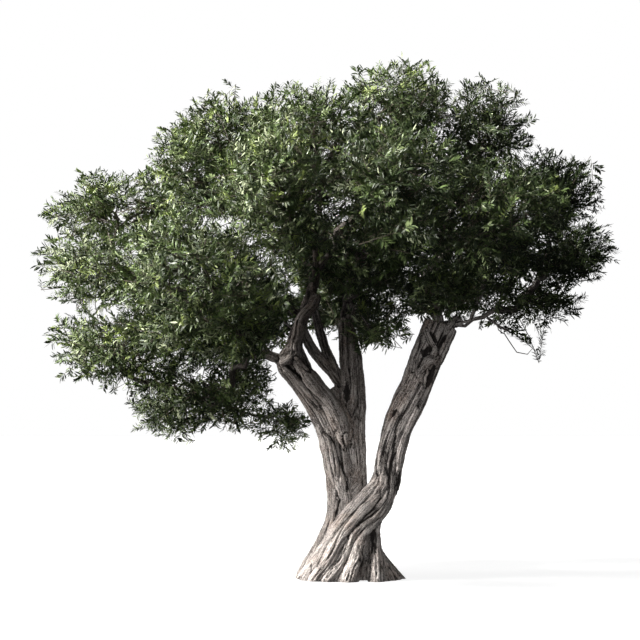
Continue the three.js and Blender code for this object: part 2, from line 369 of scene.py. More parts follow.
# Strands at the front and the sides: the stem that each climbs, its heading there in degrees from
# +X towards +Y, how deep the furrow to the next strand is (None leaves it open), and its stations
# (x, y, z, radius) from its toe, just under the ground, up to the stem.
FRONT_STRANDS = [
    ("left", 182, 12, [
        (-540, -10, -40, 45), (-450, -20, 120, 52), (-320, -30, 320, 58), (-205, -30, 560, 64),
        (-180, -20, 780, 64)
    ]),
    ("left", 222, 14, [
        (-520, -120, -40, 50), (-410, -150, 100, 60), (-300, -160, 290, 62),
        (-210, -150, 500, 66), (-155, -130, 740, 70)
    ]),
    ("left", 265, None, [
        (-300, -180, 100, 60), (-180, -170, 350, 70), (-110, -160, 600, 76),
        (-80, -130, 800, 74)
    ]),
    ("right", 188, 10, [
        (-490, -220, -40, 50), (-420, -270, 60, 60), (-330, -290, 200, 68),
        (-240, -290, 340, 74), (-155, -275, 470, 78), (-65, -250, 590, 80), (40, -220, 700, 78),
        (140, -180, 810, 74), (240, -130, 930, 66)
    ]),
    ("right", 236, 40, [
        (-400, -330, -40, 55), (-340, -350, 50, 66), (-245, -360, 180, 76),
        (-165, -345, 320, 80), (-80, -310, 450, 84), (20, -275, 570, 86), (130, -230, 690, 84),
        (240, -190, 800, 78), (315, -150, 940, 68)
    ]),
    ("right", 254, 34, [
        (-270, -400, -40, 52), (-210, -410, 60, 56), (-120, -390, 180, 52),
        (-65, -370, 290, 56), (-10, -330, 420, 66), (90, -280, 550, 76), (210, -235, 650, 78),
        (310, -190, 780, 74), (350, -140, 940, 66)
    ]),
    ("right", 302, None, [
        (-60, -400, -40, 100), (-20, -390, 80, 96), (20, -370, 200, 86), (45, -350, 320, 76),
        (100, -310, 440, 66), (175, -260, 540, 60), (262, -200, 640, 62), (345, -150, 780, 64),
        (400, -100, 940, 66)
    ]),
    ("right", 318, 16, [
        (225, -390, -40, 85), (220, -370, 90, 80), (225, -330, 220, 62), (228, -280, 360, 46),
        (215, -220, 500, 50), (268, -160, 640, 60), (385, -110, 860, 64)
    ]),
    ("right", 350, 22, [
        (380, -260, -40, 66), (315, -240, 90, 62), (250, -200, 240, 54), (205, -170, 410, 54),
        (222, -130, 580, 60), (308, -90, 720, 66), (390, -60, 900, 70)
    ]),
    ("right", 32, None, [
        (510, -100, -40, 42), (370, -90, 90, 48), (262, -80, 240, 50), (200, -60, 410, 56),
        (214, -40, 570, 64), (298, -20, 710, 70), (365, -10, 860, 74)
    ]),
]

# Strands at the back: the stem, the toe's heading, reach and radius, and the headings at the
# waist and on the stem.
BACK_STRANDS = [
    ("right", 22, 420, 54, 22, 95),
    ("centre", 52, 440, 60, 50, 20),
    ("centre", 86, 420, 62, 84, 85),
    ("left", 118, 440, 62, 114, 95),
    ("left", 150, 490, 58, 146, 140),
]

# Strands that start inside the foot: the stem and the heading on it.
INNER_STRANDS = [("left", 310), ("centre", 225), ("centre", 275), ("centre", 330), ("right", 140)]
TWIST = {"left": -0.25, "centre": 0.12, "right": 0.55}  # radians for each metre of stem
BOUGH_TWIST = 1.2
FOOT_LAP = 0.12  # metres from a foot's last station to the first one on the stem
CORE_THICK = 0.68  # a stem's own core within its strands, as a share of its radius

# The wood inside the foot: (x, y, z, radius).
HEART = [
    (0, 0, -60, 330), (0, 0, 60, 280), (-10, 0, 190, 225), (-25, 0, 420, 185),
    (-20, 10, 850, 150), (-30, 10, 1150, 110)
]

# Scars and folds that lie on the front of a stem, as strands of their own: (x, z, radius).
FOLDS = [
    ("right", [
        (660, 2020, 30), (700, 2090, 46), (745, 2150, 50), (830, 2180, 36), (905, 2260, 32),
        (925, 2400, 30), (965, 2500, 34), (1060, 2570, 36)
    ]),
    ("right", [(735, 2460, 26), (768, 2360, 27), (815, 2265, 30), (800, 2180, 36)]),
    ("right", [(720, 1900, 22), (700, 1980, 34), (735, 2045, 30)]),
    ("right", [(600, 2060, 26), (615, 2180, 34), (655, 2290, 30), (690, 2400, 26)]),
    ("right", [(262, 1060, 24), (300, 1260, 30), (360, 1440, 30), (440, 1620, 26)]),
    ("right", [(440, 1060, 26), (470, 1260, 32), (540, 1460, 32), (640, 1680, 28)]),
    ("main", [(-150, 1000, 26), (-180, 1180, 34), (-225, 1360, 32), (-290, 1460, 26)]),
    ("left", [(-330, 1700, 26), (-430, 1830, 32), (-560, 1980, 32), (-660, 2090, 28)]),
    ("left", [
        (-80, 1300, 30), (-115, 1480, 80), (-170, 1620, 88), (-245, 1745, 86), (-335, 1860, 84),
        (-430, 1985, 78), (-530, 2110, 60), (-600, 2200, 36)
    ]),
    ("centre", [
        (-50, 1330, 40), (-75, 1500, 85), (-125, 1660, 85), (-165, 1790, 70), (-205, 1870, 50)
    ]),
    ("centre", [(-60, 1900, 45), (-74, 2100, 45), (-84, 2320, 45), (-90, 2560, 45)]),
    ("left", [
        (-470, 2050, 70), (-530, 2170, 70), (-555, 2290, 60), (-525, 2410, 60),
        (-495, 2560, 55), (-385, 2700, 52), (-360, 2790, 50)
    ]),
    ("right", [(840, 2120, 45), (890, 2240, 55), (940, 2360, 58), (990, 2470, 56)]),
    ("left", [(-700, 2110, 36), (-630, 2145, 46), (-570, 2230, 36)]),
]

# Hollows in the wood: stations (x, y, z, radius) of the tool that carves the deep one, from the
# lowest up, and then the small ones that sink the front of the foot or of a stem: (x, z, radius).
DEEP_HOLLOW = [
    (95, -460, -50, 20), (104, -430, 100, 28), (120, -390, 220, 36), (145, -340, 340, 46),
    (168, -290, 430, 42), (185, -250, 490, 26)
]
SMALL_HOLLOWS = [
    ("foot", [(-180, 540, 10), (-177, 590, 17), (-170, 640, 10)]),
    ("foot", [(-262, 360, 9), (-256, 410, 16), (-250, 440, 9)]),
    ("main", [(-60, 860, 10), (-40, 1110, 14), (-100, 1400, 10)]),
    ("main", [(40, 980, 8), (55, 1180, 13), (50, 1380, 9)]),
    ("centre", [(-55, 1760, 12), (-55, 1840, 22), (-48, 1930, 12)]),
    ("left", [(-400, 1880, 10), (-540, 2010, 14), (-680, 2120, 10)]),
    ("right", [(350, 880, 8), (380, 1120, 13), (430, 1400, 9)]),
    ("right", [(275, 1120, 9), (310, 1290, 15), (362, 1450, 9)]),
    ("right", [(385, 1570, 8), (410, 1620, 14), (436, 1660, 9)]),
    ("right", [(748, 1915, 18), (780, 1990, 30), (818, 2085, 18)]),
    ("right", [(660, 2030, 10), (668, 2100, 16), (690, 2170, 12)]),
    ("right", [(705, 2190, 12), (725, 2235, 26), (770, 2265, 18)]),
    ("right", [(788, 2420, 10), (812, 2380, 16), (834, 2340, 10)]),
    ("right", [(903, 2285, 9), (915, 2345, 14), (930, 2420, 10), (985, 2490, 9), (1080, 2525, 8)]),
]


FOOT_CORE = [(0, 0, 0, 450), (0, 0, 350, 300), (0, 0, 800, 200)]  # for the hollows in the foot


def metres(stations):
    """A table in millimetres, as an array in metres."""
    return np.array(stations) / 1000


def side_of(stem):
    """The mesh that a stem's bark is part of."""
    return "right" if stem == "right" else "left"


def stem_cores():
    """The centre lines of the three stems above the fork: (stations, 4) each."""
    low, high = centre_line("main_stem", 4)[1:3]
    slope = (high - low) / (high[2] - low[2])
    levels = np.linspace(FORK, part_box("main_stem")[1].z - 0.03, 4)
    main = low + slope * (levels[:, None] - low[2])
    shift = main[:, 3:]
    left_foot = main + np.hstack([shift * (-0.34, -0.18, 0), -0.30 * shift])
    centre_foot = main + np.hstack([shift * (0.36, 0.20, 0), -0.34 * shift])
    return {
        "main": main,
        "left": np.concatenate(
            [left_foot, centre_line("left_limb", 5)[1:], centre_line("left_upper_limb", 6)[1:]]
        ),
        "centre": np.concatenate([centre_foot, centre_line("centre_limb", 7)[1:]]),
        "right": centre_line("right_limb", 9),
    }


def around(core, heading, twist, out=0.60, thick=0.44):
    """A strand that winds round a stem's centre line."""
    tangents = unit(np.gradient(core[:, :3], axis=0))
    east = unit(np.array([1.0, 0, 0]) - tangents[:, :1] * tangents)
    north = np.cross(tangents, east)
    steps = np.linalg.norm(np.diff(core[:, :3], axis=0), axis=1)
    climbed = np.concatenate([[0], np.cumsum(steps)])
    angle = math.radians(heading) + twist * climbed
    offset = np.cos(angle)[:, None] * east + np.sin(angle)[:, None] * north
    radius = core[:, 3:]
    return np.hstack([core[:, :3] + offset * radius * out, radius * thick])


def root_foot(toe, reach, thick, waist):
    """A root strand's stations from its toe to the waist."""
    middle = toe + 0.5 * (waist - toe)

    def spot(heading, distance, z, radius, centre=(0, 0)):
        """A station at a distance from the foot's middle."""
        angle = math.radians(heading)
        x, y = centre[0] + distance * math.cos(angle), centre[1] + distance * math.sin(angle)
        return x, y, z, radius

    return [
        spot(toe, 0.97 * reach, -0.07, 0.8 * thick),
        spot(toe, 0.82 * reach, 0.045, thick),
        spot(middle, 0.59 * reach, 0.17, 1.2 * thick),
        spot(waist, WAIST["radius"], WAIST["z"], 1.4 * thick, WAIST["centre"]),
    ]


def web(one, other, furrow):
    """A strand that fills the space between two others, set back by the depth of the furrow."""
    one, other = smooth_path(one, STRAND_POINTS), smooth_path(other, STRAND_POINTS)
    middle = (one + other) / 2
    gap = np.linalg.norm(one[:, :3] - other[:, :3], axis=1)
    middle[:, :2] -= furrow * unit(middle[:, :2])
    middle[:, 3] = np.maximum(middle[:, 3], 0.42 * gap)
    return middle


def on_front(core, stations):
    """Stations (x, y, z, radius) on the front of a stem, from a table of x, z and radius."""
    line = smooth_path(core, 60)
    placed = []
    for x, z, radius in metres(stations):
        gap = np.hypot(line[:, 0] - x, line[:, 2] - z)
        nearest = gap.argmin()
        bulge = math.sqrt(max(line[nearest, 3] ** 2 - gap[nearest] ** 2, 0.0))
        placed.append((x, line[nearest, 1] - bulge, z, radius))
    return np.array(placed)


def bark_strands(cores):
    """The strands that the bark wraps and what fills the space between them.

    For each of the two groups, on the left and on the right stem: (strands, points, 4), and how
    many of the strands carry grain."""
    grained = {"left": [], "right": []}
    fill = {"left": [], "right": []}

    def climb(stem, heading):
        """The part of a strand that runs up a stem."""
        return around(cores[stem], heading, TWIST[stem])

    def add(group, stem, *stations):
        """Adds a strand through the stations to the mesh that the stem is part of."""
        course = smooth_path(np.concatenate(stations), STRAND_POINTS)
        group[side_of(stem)].append(course)

    def buried(centre, share):
        """A station in the foot's heart, below where an inner strand comes out."""
        return [(share * centre[0], share * centre[1], 0.30, 0.12)]

    for stem, heading, _, foot in FRONT_STRANDS:
        foot, upper = metres(foot), climb(stem, heading)
        add(grained, stem, foot, upper[upper[:, 2] > foot[-1, 2] + FOOT_LAP])
    for (stem, _, furrow, foot), (_, _, _, beside) in zip(FRONT_STRANDS, FRONT_STRANDS[1:]):
        if furrow is not None:
            fill[stem].append(web(metres(foot), metres(beside), furrow / 1000))
    for stem, toe, reach, thick, waist, heading in BACK_STRANDS:
        foot = root_foot(toe, reach / 1000, thick / 1000, waist)
        add(grained, stem, foot, climb(stem, heading))
    for stem, heading in INNER_STRANDS:
        upper = climb(stem, heading)
        add(grained, stem, buried(upper[0], 0.25), upper)
    for stem in ("left", "centre", "right"):
        add(fill, stem, buried(cores[stem][0], 0.2), cores[stem] * (1, 1, 1, CORE_THICK))
    for stem in ("left", "right"):
        add(fill, stem, metres(HEART))
    for stem, fold in FOLDS:
        add(grained, stem, on_front(cores[stem], fold))
    for node in ("left_outer_bough", "inner_bough_left", "inner_bough_right", "right_bough"):
        core = centre_line(node, 6)
        foot = core[0] - 0.10 * np.append(unit(core[1, :3] - core[0, :3]), 0)
        core = np.concatenate([[foot], core])
        for heading in (20, 140, 260):
            strand = around(core, heading, BOUGH_TWIST, out=0.34, thick=0.62)
            add(grained, "right" if node == "right_bough" else "left", strand)
    return {group: (np.array(grained[group] + fill[group]), len(grained[group])) for group in fill}


def run_modifier(target, kind, **settings):
    """Adds a modifier with its settings and applies it."""
    bpy.ops.object.select_all(action="DESELECT")
    target.select_set(True)
    bpy.context.view_layer.objects.active = target
    modifier = target.modifiers.new(kind.lower(), kind)
    for name, value in settings.items():
        setattr(modifier, name, value)
    bpy.ops.object.modifier_apply(modifier=modifier.name)


def carving_tool(cell):
    """The solid that the deep hollow is carved with."""
    path = smooth_path(metres(DEEP_HOLLOW), HOLLOW_POINTS)[None]
    vertices, faces, _ = tubes(path[..., :3], path[..., 3], 14)
    tool = make_mesh("carving_tool", vertices, faces, [])
    run_modifier(tool, "REMESH", mode="VOXEL", voxel_size=0.7 * cell)
    return tool


def strand_coordinates(points, strands):
    """Where each point lies on its nearest strand (across, over and along it, in metres), and how
    much nearer that strand is than the next."""
    paths, radii = strands[..., :3], strands[..., 3]
    across, over = tube_frames(paths)
    steps = np.linalg.norm(np.diff(paths, axis=1), axis=-1)
    along = np.concatenate([np.zeros((len(strands), 1)), np.cumsum(steps, 1)], 1)
    best = np.full(len(points), np.inf)
    second = np.full(len(points), np.inf)
    grain = np.zeros((len(points), 3))
    for number in range(len(strands)):
        gap = points[:, None, :] - paths[number, None, ::3]
        station = (np.linalg.norm(gap, axis=-1) - radii[number, None, ::3]).argmin(1) * 3
        offset = points - paths[number, station]
        tangent = unit(np.gradient(paths[number], axis=0))[station]
        lift = (offset * tangent).sum(-1)
        reach = 2 * steps[number].mean()
        slide = np.clip(lift, -reach, reach)
        taper = np.gradient(radii[number], along[number])[station]
        score = np.linalg.norm(offset - slide[:, None] * tangent, axis=-1)
        score -= radii[number, station] + taper * slide
        nearer = score < best
        second = np.where(nearer, best, np.minimum(second, score))
        best[nearer] = score[nearer]
        station = station[nearer]
        grain[nearer, 0] = (offset[nearer] * across[number, station]).sum(-1) + 3.1 * number
        grain[nearer, 1] = (offset[nearer] * over[number, station]).sum(-1)
        grain[nearer, 2] = along[number, station] + lift[nearer]
    return grain, second - best


def furrows(field, width):
    """Narrow furrows where a noise field changes sign: 1 at the bottom, 0 on the plates."""
    return np.clip(1 - np.abs(field) / width, 0, 1) ** 0.8


def hollow_share(points, cores):
    """How far each point is into one of the hollows, from 0 to 1."""
    share = np.zeros(len(points))
    cores = {**cores, "foot": metres(FOOT_CORE)}
    courses = [smooth_path(metres(DEEP_HOLLOW), HOLLOW_POINTS) * (1, 1, 1, 1.1)]
    for stem, hollow in SMALL_HOLLOWS:
        courses.append(smooth_path(on_front(cores[stem], hollow), HOLLOW_POINTS))
    ragged = 1 + 0.5 * noise_at(points * (30.0, 30.0, 18.0) + 6.0)
    for number, course in enumerate(courses):
        weight = (1, 1, 1) if number == 0 else (1, 0.25, 1)  # the small ones reach further in
        gap = points[:, None] - course[None, :, :3]
        far = np.sqrt((np.square(gap) * weight).sum(-1)) / course[None, :, 3]
        share = np.maximum(share, np.clip(1.7 - far.min(1) * ragged, 0, 1))
    return share


# Relief of the bark. The patterns' scales are for a metre across, over and along a strand, and the
# heights are in metres.
PLATE_PATTERN, PLATE_EDGE = (15.0, 15.0, 0.75), 0.105
FIBRE_PATTERN, FIBRE_EDGE = (50.0, 50.0, 1.7), 0.15
SEAM_WIDTH, SEAM_DEPTH = 0.014, 0.008
LUMP_HEIGHT, GRIT_HEIGHT = 0.007, 0.0035
RIDGE_HEIGHT, HOLLOW_DEPTH = 0.008, 0.020
FLAT_FOOT = 0.03  # height over which the relief fades out towards the ground


def bark_relief(target, strands, cores, settings):
    """Sinks furrows that run with the strands, and notes how deep each point lies, for painted
    shade.
    """
    mesh = target.data
    points = points_of(mesh)
    normals = np.empty(len(points) * 3, np.float32)
    mesh.vertices.foreach_get("normal", normals)
    normals = normals.reshape(-1, 3).astype(float)
    grain, lead = strand_coordinates(points, strands)
    wander = noise_at(points * 5.0)[:, None] * (0.02, 0.02, 0)
    plate = furrows(noise_at((grain + wander) * PLATE_PATTERN), PLATE_EDGE)
    fibre = furrows(noise_at((grain + wander * 0.6) * FIBRE_PATTERN + 9.0), FIBRE_EDGE)
    lumps = noise_at(points * 8.5 + 4.0)
    grit = noise_at(points * 44.0 + 2.0)
    seam = np.clip(1 - lead / SEAM_WIDTH, 0, 1)
    hollow = hollow_share(points, cores)
    rough = np.clip(1.35 - points[:, 2] * 0.5, 0.75, 1.2)
    sink = rough * (settings.plate * plate + settings.fibre * fibre) + SEAM_DEPTH * seam
    height = LUMP_HEIGHT * lumps + GRIT_HEIGHT * grit + RIDGE_HEIGHT - sink - HOLLOW_DEPTH * hollow
    fade = np.clip((points[:, 2] - GROUND) / FLAT_FOOT, 0, 1)
    points += normals * (height * fade)[:, None]
    points[:, 2] = np.maximum(points[:, 2], GROUND)
    mesh.vertices.foreach_set("co", points.astype(np.float32).ravel())
    # How deep each point lies in the furrows, seams and hollows, for the painted shade there.
    depth = np.clip(0.75 * plate + 0.50 * fibre + 0.60 * seam + 1.2 * hollow - 0.12 * grit, 0, 1)
    note_grain(mesh, grain, depth)
    mesh.update()


def build_bark(settings):
    """The bark of the two stems, each with its share of the foot."""
    cores = stem_cores()
    made = []
    for group, (strands, grained) in bark_strands(cores).items():
        vertices, faces, _ = tubes(strands[..., :3], strands[..., 3], 16)
        bark = make_mesh(f"bark_{group}", vertices, faces, [])
        run_modifier(bark, "REMESH", mode="VOXEL", voxel_size=settings.cell)
        tool = carving_tool(settings.cell)
        run_modifier(bark, "BOOLEAN", operation="DIFFERENCE", object=tool, solver="MANIFOLD")
        bpy.data.objects.remove(tool)
        run_modifier(bark, "REMESH", mode="VOXEL", voxel_size=settings.cell)
        run_modifier(bark, "SMOOTH", factor=0.5, iterations=3)
        bpy.ops.object.mode_set(mode="EDIT")
        bpy.ops.mesh.select_all(action="SELECT")
        bpy.ops.mesh.bisect(
            plane_co=(0, 0, GROUND), plane_no=(0, 0, 1), use_fill=True, clear_inner=True
        )
        bpy.ops.object.mode_set(mode="OBJECT")
        bark_relief(bark, strands[:grained], cores, settings)
        bark.data.materials.clear()
        bark.data.materials.append(olive_bark())
        bark.data.polygons.foreach_set("use_smooth", np.ones(len(bark.data.polygons), bool))
        made.append(bark)
    return made


# ---- crown: where the branchlets are ----

# How much further apart the branchlets are in the thinner parts of the crown, and nearer in one.
OPENNESS = {
    "left_far": 1.12, "left_far_high": 1.12, "left_low_outer": 1.10, "left_hanging_tip": 1.4,
    "hanging_tuft": 1.45, "low_right_spray": 1.8, "under_right": 0.85, "right_low": 1.15,
}

RAYS = ((0.05, 0.03, 1.0), (0.7, -0.6, -0.4))  # ways to look out from a point, to find its mass
CLEARANCE = 0.06  # metres out from a mass that have to be free for its skin to face the open air
CROWN_TRIES = 4.0, 5.0  # random points to choose from for each one kept: on the skin, inside

# How the boughs run: how far a mass's bough goes to the mass's middle before it forks, how far each
# branch then goes to its branchlets, and the length of a bough's foot inside its limb.
HUB_SHARE, FORK_SHARE, FOOT_DEPTH = 0.72, 0.78, 0.12
BRANCHLETS_PER_FORK = 7
LIMB_EXPONENT = 0.44  # how a limb's radius grows with the branchlets that it carries

# How far under a mass's skin the tips of its outer branchlets are, in metres: a share of them are
# within the fringe, and the others are below it.
FRINGE_SHARE, FRINGE, DEEPEST = 0.22, 0.07, 0.24
LOW_SPRAY_SCALE = 0.35  # length of the branchlets and sprays on the low right spray


def inside(tree, points):
    """Whether each point is inside a closed solid: rays from it leave through the solid's skin."""
    answer = np.ones(len(points), bool)
    for i, point in enumerate(points.tolist()):
        for way in RAYS:
            _, normal, _, _ = tree.ray_cast(point, way)
            if normal is None or sum(n * w for n, w in zip(normal, way)) <= 0:
                answer[i] = False
                break
    return answer


def spaced(points, owner, gap, rng):
    """Numbers of the points that are kept when none may be nearer to another than the gap."""
    tree = KDTree(len(points))
    for i, point in enumerate(points.tolist()):
        tree.insert(point, i)
    tree.balance()
    open_masses = np.array([OPENNESS.get(node, 1.0) for node in MASSES])
    gaps = gap * open_masses[owner] * (1.0 + 0.22 * noise_at(points * 1.9 + 3.0))
    free = np.ones(len(points), bool)
    kept = []
    for i in rng.permutation(len(points)):
        if free[i]:
            kept.append(i)
            for _, other, _ in tree.find_range(points[i].tolist(), gaps[i]):
                free[other] = False
    return np.array(kept)


def crown_shell(gap, rng):
    """Evenly spread points on the masses where they face the open air: point, normal and mass."""
    trees, corners, owner = [], [], []
    for number, node in enumerate(MASSES):
        mesh = frame["nodes"][node].data
        points, triangles = points_of(mesh), triangles_of(mesh)
        trees.append(BVHTree.FromPolygons(points.tolist(), triangles.tolist()))
        corners.append(points[triangles])
        owner.append(np.full(len(triangles), number))
    corners, owner = np.concatenate(corners), np.concatenate(owner)
    cross = np.cross(corners[:, 1] - corners[:, 0], corners[:, 2] - corners[:, 0])
    area = np.linalg.norm(cross, axis=1)
    count = int(CROWN_TRIES[0] * area.sum() / gap**2)
    face = rng.choice(len(corners), count, p=area / area.sum())
    a, b = rng.random((2, count, 1))
    flip = a + b > 1
    a, b = np.where(flip, 1 - a, a), np.where(flip, 1 - b, b)
    chosen = corners[face]
    points = chosen[:, 0] + a * (chosen[:, 1] - chosen[:, 0]) + b * (chosen[:, 2] - chosen[:, 0])
    normals, owner = unit(cross[face]), owner[face]
    outside = points + normals * CLEARANCE
    open_air = np.ones(count, bool)
    for number, tree in enumerate(trees):
        others = np.flatnonzero(open_air & (owner != number))
        open_air[others] = ~inside(tree, outside[others])
    points, normals, owner = points[open_air], normals[open_air], owner[open_air]
    kept = spaced(points, owner, gap, rng)
    return points[kept], normals[kept], owner[kept], trees


def crown_inside(gap, trees, rng):
    """Evenly spread points inside the masses: point and mass."""
    low, high = np.array(CAD_BOX)
    count = int(CROWN_TRIES[1] * (high - low).prod() / gap**3)
    points = rng.uniform(low, high, (count, 3))
    owner = np.full(count, -1)
    for number, tree in enumerate(trees):
        free = np.flatnonzero(owner < 0)
        owner[free[inside(tree, points[free])]] = number
    points, owner = points[owner >= 0], owner[owner >= 0]
    kept = spaced(points, owner, gap, rng)
    return points[kept], owner[kept]


# ---- crown: how it branches ----


def clusters(points, count, rng):
    """Splits points into groups by nearness: a group number for each point."""
    count = min(count, len(points))
    centres = points[rng.choice(len(points), count, replace=False)]
    for _ in range(8):
        group = np.linalg.norm(points[:, None] - centres[None], axis=-1).argmin(1)
        for k in range(count):
            if (group == k).any():
                centres[k] = points[group == k].mean(0)
    return group


def limb_ends():
    """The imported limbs' ends, where boughs leave them: point, direction and radius."""
    found = []
    for node in (
        "left_limb", "left_upper_limb", "left_outer_bough", "centre_limb", "inner_bough_left",
        "inner_bough_right", "right_limb", "right_bough", "low_right_branch",
    ):
        last = centre_line(node, 6)
        found.append((last[-1, :3], unit(last[-1, :3] - last[-2, :3]), last[-1, 3]))
    return found


def bough_links(hubs, ends):
    """Joins every hub to a limb's end or to an earlier hub: the shortest tree that grows outwards.

    The last limb is a thin branch that carries its own spray and nothing else, and the hanging tip
    hangs from the skirt."""
    points = np.array([end[0] for end in ends] + list(hubs))
    thin, spray = len(ends) - 1, len(ends) + MASSES.index("low_right_spray")
    skirt, tip = (len(ends) + MASSES.index(node) for node in ("left_skirt", "left_hanging_tip"))
    joined = list(range(len(ends)))
    waiting = set(range(len(ends), len(points)))
    parent = {}
    reached = {i: 0.0 for i in joined}

    def cost(c, p):
        """The bough's length, more where its foot is far out or where it hangs down."""
        drop = max(0.0, points[p][2] - points[c][2])
        return np.linalg.norm(points[c] - points[p]) + 0.45 * reached[p] + 0.5 * drop

    while waiting:
        _, child, start = min(
            (cost(c, p), c, p)
            for c in waiting
            for p in joined
            if p != spray and (p == thin) == (c == spray) and (c != tip or p == skirt)
        )
        parent[child - len(ends)] = start
        reached[child] = reached[start] + np.linalg.norm(points[child] - points[start])
        joined.append(child)
        waiting.remove(child)
    return parent


def curved(start, start_way, end, count, lean=0.42):
    """Curves that leave start along start_way and arrive at end: (curves, count, 3)."""
    span = np.linalg.norm(end - start, axis=-1, keepdims=True)
    control = start + start_way * span * lean
    t = np.linspace(0, 1, count)[:, None]
    start, control, end = (p[..., None, :] for p in (start, control, end))
    return (1 - t) ** 2 * start + 2 * t * (1 - t) * control + t**2 * end


class Growth:
    """Everything that grows in the crown, from the limbs out to the branchlets."""

    def __init__(self, settings):
        self.rng = np.random.default_rng(settings.seed)
        self.settings = settings
        self.place_branchlets()
        self.ends = limb_ends()
        self.boughs = []  # (path, foot radius, end radius)
        self.foot = np.zeros_like(self.tips)
        self.foot_way = np.zeros_like(self.tips)
        self.grow()

    def place_branchlets(self):
        """Tip, direction and mass of every branchlet, and which are at the outside."""
        rng, settings = self.rng, self.settings
        shell, normals, owner, trees = crown_shell(settings.outer_gap, rng)
        depth = np.where(
            rng.random(len(shell)) < FRINGE_SHARE,
            rng.uniform(0.00, FRINGE, len(shell)),
            rng.uniform(FRINGE, DEEPEST, len(shell)),
        )
        shell = shell - normals * depth[:, None]
        core, core_owner = crown_inside(settings.inner_gap, trees, rng)
        self.tips = np.concatenate([shell, core])
        self.owner = np.concatenate([owner, core_owner])
        self.trees = trees
        self.outer = np.arange(len(self.tips)) < len(shell)
        low_spray = self.owner == MASSES.index("low_right_spray")
        self.scale = np.where(low_spray, LOW_SPRAY_SCALE, 1.0)
        centre = np.array(CAD_BOX).mean(0) * (1, 1, 1.1)
        outward = unit(self.tips - centre)
        self.normals = np.concatenate([normals, outward[len(shell) :]])

    def thickness(self, branchlets):
        """Radius of a limb that carries so many branchlets."""
        return 2.0 * self.settings.twig_radius * max(branchlets, 1) ** LIMB_EXPONENT

    def per_spray(self, values):
        """Values for the branchlets, repeated for the sprays on each."""
        return np.repeat(values, self.settings.sprays, 0)

    def grow(self):
        """Boughs from the limbs to every mass, and the branches of each."""
        count = len(MASSES)
        carried = np.bincount(self.owner, minlength=count).astype(float)
        centres = np.array([self.tips[self.owner == m].mean(0) for m in range(count)])
        parent = bough_links(centres, self.ends)
        limb_count = len(self.ends)
        order = list(parent)
        for mass in reversed(order):
            if parent[mass] >= limb_count:
                carried[parent[mass] - limb_count] += carried[mass]
        hubs, ways = {}, {}
        for mass in order:
            start = parent[mass]
            if start < limb_count:
                foot, way, limb_radius = self.ends[start]
                foot = foot - way * FOOT_DEPTH
            else:
                foot, way = hubs[start - limb_count], ways[start - limb_count]
                limb_radius = np.inf
            hub = foot + HUB_SHARE * (centres[mass] - foot)
            hub = hub + self.rng.normal(0, 0.05, 3)
            path = curved(foot, way, hub, 9)
            wobble = self.rng.normal(0, 0.025, path.shape)
            wobble[[0, -1]] = 0
            radius = self.thickness(carried[mass])
            foot_radius = min(limb_radius * 0.92, radius * 1.15)
            self.boughs.append((path + wobble, foot_radius, radius * 0.8))
            hubs[mass] = hub
            ways[mass] = unit(path[-1] - path[-2])
            self.branch_out(mass, hub, ways[mass], radius)

    def branch_out(self, mass, hub, way, radius):
        """Branches from a mass's hub to where its branchlets leave them."""
        mine = np.flatnonzero(self.owner == mass)
        forks = max(2, round(len(mine) / BRANCHLETS_PER_FORK))
        group = clusters(self.tips[mine], forks, self.rng)
        for k in np.unique(group):
            some = mine[group == k]
            outward = unit(self.normals[some].mean(0))
            target = self.tips[some].mean(0) - 0.45 * self.settings.branchlet * outward
            fork = hub + FORK_SHARE * (target - hub)
            path = curved(hub, unit(way + unit(fork - hub)), fork, 6)
            end_radius = self.thickness(len(some))
            self.boughs.append((path, min(end_radius * 1.5, radius * 0.8), end_radius))
            self.foot[some] = fork
            self.foot_way[some] = unit(path[-1] - path[-2])


# ---- crown: sprays and leaves ----


def bezier(start, control, end, share):
    """Points and directions on quadratic curves."""
    point = (1 - share) ** 2 * start + 2 * share * (1 - share) * control + share**2 * end
    way = unit((1 - share) * (control - start) + share * (end - control))
    return point, way


def branchlet_courses(growth):
    """Start, control and tip of the leafy part of every branchlet, and the way it lies flat."""
    rng, settings = growth.rng, growth.settings
    count = len(growth.tips)
    outward = unit(growth.tips - growth.foot)
    along = unit(np.cross(growth.normals, rng.normal(0, 1, (count, 3))))
    way = 0.42 * growth.normals + 0.34 * outward + 0.55 * along
    way[:, 2] = np.where(way[:, 2] > 0, 0.45, 0.7) * way[:, 2] + 0.08
    way = unit(way)
    length = settings.branchlet * growth.scale[:, None] * rng.uniform(0.8, 1.2, (count, 1))
    start = growth.tips - way * length
    sag = rng.uniform(-0.05, 0.10, (count, 1)) * length * (0, 0, 1.0)
    control = (start + growth.tips) / 2 + sag
    side = unit(np.cross(way, growth.normals) + rng.normal(0, 0.12, (count, 3)))
    roll = rng.normal(0, 0.40, (count, 1))
    side = unit(np.cos(roll) * side + np.sin(roll) * np.cross(side, way))
    return start, control, growth.tips, side


def in_crown(growth, points):
    """Whether each point lies in one of the masses: as many rows as the points, 1 wide."""
    flat = points.reshape(-1, 3)
    found = np.zeros(len(flat), bool)
    for tree in growth.trees:
        free = np.flatnonzero(~found)
        found[free] = inside(tree, flat[free])
    return found.reshape(*points.shape[:-1], 1)


